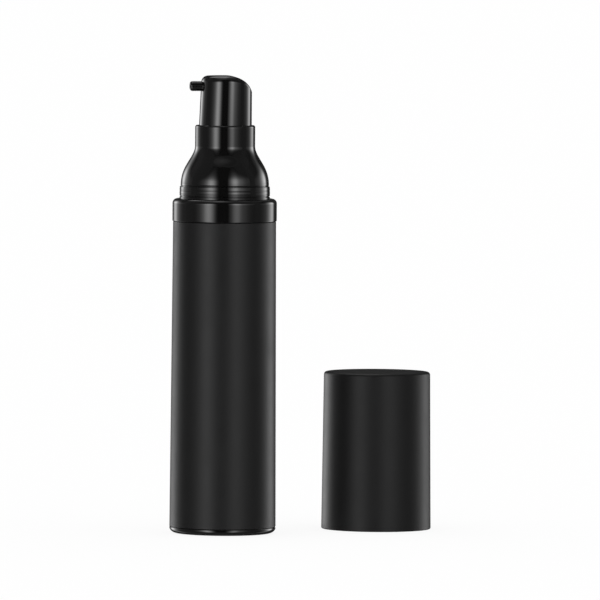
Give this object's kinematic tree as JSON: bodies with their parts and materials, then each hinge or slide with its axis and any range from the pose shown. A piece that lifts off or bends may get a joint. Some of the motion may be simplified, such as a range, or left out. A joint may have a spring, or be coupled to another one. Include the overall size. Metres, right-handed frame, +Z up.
{
  "type": "airless pump bottle",
  "caption": "Small airless travel bottle with a push-head pump and side spout, and its overcap standing beside it.",
  "frame": {"origin": "centre of the bottle's flat foot, on the bottle's axis and on the surface it stands on", "axes": "+Z up along the bottle's axis, +X to the right in the picture, where the overcap stands, +Y away from its viewer"},
  "size_m": [0.0795, 0.0566, 0.1386],
  "materials": {
    "body_matte": "fine matte black coating",
    "cap_matte": "fine matte black coating",
    "pump_gloss": "polished black moulding",
    "liner": "satin black moulding",
    "inner_white": "natural white moulding",
    "seal": "soft white moulding",
    "gasket": "grey sealing disc",
    "steel": "drawn stainless steel"
  },
  "bodies": {
    "bottle": {"bottle_body": "body_matte", "base_plug": "pump_gloss"},
    "follower": {"follower_piston": "inner_white"},
    "pump": {"pump_housing": "inner_white", "housing_gasket": "gasket", "stem_guide": "inner_white", "return_spring": "steel"},
    "collar": {"screw_closure": "inner_white", "shoulder": "pump_gloss", "collar_ring": "pump_gloss"},
    "ball": {"inlet_ball": "steel"},
    "stem": {"pump_stem": "inner_white", "stem_tip": "inner_white"},
    "seal": {"pump_seal": "seal"},
    "head": {"actuator_shell": "pump_gloss", "nozzle_core": "pump_gloss", "nozzle_tip": "pump_gloss"},
    "cap": {"cap_shell": "cap_matte", "cap_liner": "liner"}
  },
  "joints": [
    {"name": "head_press", "type": "slide", "parent": "pump", "child": "stem", "axis": [0, 0, -1], "range_m": [0, 0.0075], "stiffness_N_per_m": 1200, "springref_m": -0.006, "deforming": ["return_spring"]},
    {"name": "head_swivel", "type": "hinge", "parent": "stem", "child": "head", "pos_m": [0, 0, 0.1213], "axis": [0, 0, 1], "continuous": true},
    {"name": "outlet_seal_shift", "type": "slide", "parent": "stem", "child": "seal", "axis": [0, 0, 1], "range_m": [0, 0.0006]},
    {"name": "inlet_ball_lift", "type": "slide", "parent": "pump", "child": "ball", "axis": [0, 0, 1], "range_m": [0, 0.0008]},
    {"name": "follower_rise", "type": "slide", "parent": "bottle", "child": "follower", "axis": [0, 0, 1], "range_m": [0, 0.0762]},
    {"name": "collar_unscrew", "type": "hinge", "parent": "pump", "child": "collar", "pos_m": [0, 0, 0.1], "axis": [0, 0, 1], "range_deg": [0, 540]},
    {"name": "pump_lift", "type": "slide", "parent": "bottle", "child": "pump", "axis": [0, 0, 1], "range_m": [0, 0.0045]},
    {"name": "cap_lift", "type": "slide", "parent": "bottle", "child": "cap", "axis": [0, 0, 1], "range_m": [0, 0.15]}
  ],
  "couplings": [
    {"joint": "pump_lift", "follows": "collar_unscrew", "m_per_rad": 0.000477}
  ]
}
